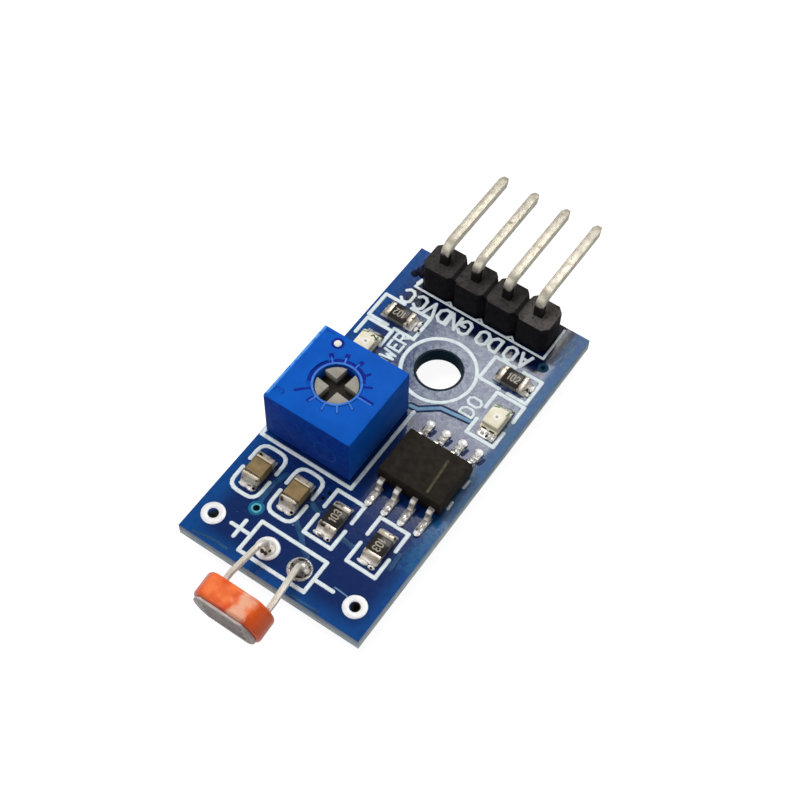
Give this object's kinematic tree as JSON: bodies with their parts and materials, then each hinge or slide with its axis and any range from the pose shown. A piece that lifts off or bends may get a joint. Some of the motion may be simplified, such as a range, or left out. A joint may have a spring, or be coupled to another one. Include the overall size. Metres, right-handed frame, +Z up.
{
  "type": "light sensor module",
  "caption": "Small blue circuit board with a light sensor on bent leads, a trimmer with a turning rotor, a comparator and a bent pin header.",
  "frame": {"origin": "centre of the bounding box's bottom, on the surface that the lead tails stand on", "axes": "+X across the board, +Y along it from the sensor end to the header end, +Z up from the populated side"},
  "size_m": [0.014, 0.0376, 0.0068],
  "materials": {
    "board_mask": "blue solder mask on glass-fibre laminate",
    "header_plastic": "black moulded",
    "tin_plating": "tin-plated brass",
    "bright_solder": "bright solder and tinned metal",
    "trimmer_plastic": "blue moulded, satin",
    "rotor_plastic": "light grey moulded",
    "spring_bronze": "spring bronze",
    "ceramic": "white ceramic with printed track",
    "seal_resin": "cast resin",
    "ring_rubber": "black rubber",
    "package_resin": "black moulded",
    "resistor_glass": "black glassed film on ceramic",
    "capacitor_ceramic": "tan fired ceramic",
    "light_base": "ivory",
    "light_lens": "clear resin",
    "sensor_coating": "orange glossy coating on ceramic",
    "sensor_face": "grey, clear-coated sensing film"
  },
  "bodies": {
    "module": {"board": "board_mask", "capacitor_1_body": "capacitor_ceramic", "capacitor_1_cap_a": "bright_solder", "capacitor_1_cap_b": "bright_solder", "capacitor_2_body": "capacitor_ceramic", "capacitor_2_cap_a": "bright_solder", "capacitor_2_cap_b": "bright_solder", "comparator_body": "package_resin", "comparator_lead_1": "bright_solder", "comparator_lead_2": "bright_solder", "comparator_lead_3": "bright_solder", "comparator_lead_4": "bright_solder", "comparator_lead_5": "bright_solder", "comparator_lead_6": "bright_solder", "comparator_lead_7": "bright_solder", "comparator_lead_8": "bright_solder", "header_housing": "header_plastic", "header_pin_1": "tin_plating", "header_pin_2": "tin_plating", "header_pin_3": "tin_plating", "header_pin_4": "tin_plating", "output_light_base": "light_base", "output_light_cap_a": "bright_solder", "output_light_cap_b": "bright_solder", "output_light_lens": "light_lens", "power_light_base": "light_base", "power_light_cap_a": "bright_solder", "power_light_cap_b": "bright_solder", "power_light_lens": "light_lens", "resistor_1_body": "resistor_glass", "resistor_1_cap_a": "bright_solder", "resistor_1_cap_b": "bright_solder", "resistor_2_body": "resistor_glass", "resistor_2_cap_a": "bright_solder", "resistor_2_cap_b": "bright_solder", "resistor_3_body": "resistor_glass", "resistor_3_cap_a": "bright_solder", "resistor_3_cap_b": "bright_solder", "resistor_4_body": "resistor_glass", "resistor_4_cap_a": "bright_solder", "resistor_4_cap_b": "bright_solder", "sensor_disc": "sensor_coating", "sensor_face": "sensor_face", "sensor_lead_1": "bright_solder", "sensor_lead_2": "bright_solder", "trimmer_bottom_seal": "seal_resin", "trimmer_element": "ceramic", "trimmer_housing": "trimmer_plastic", "trimmer_seal_ring": "ring_rubber", "trimmer_terminal_1": "bright_solder", "trimmer_terminal_2": "bright_solder", "trimmer_terminal_3": "bright_solder"},
    "rotor": {"trimmer_rotor": "rotor_plastic", "trimmer_wiper": "spring_bronze"}
  },
  "joints": [
    {"name": "rotor_turn", "type": "hinge", "parent": "module", "child": "rotor", "pos_m": [-0.00334, -0.00239, 0.00537], "axis": [0, 0, 1], "range_deg": [-128, 142]}
  ]
}
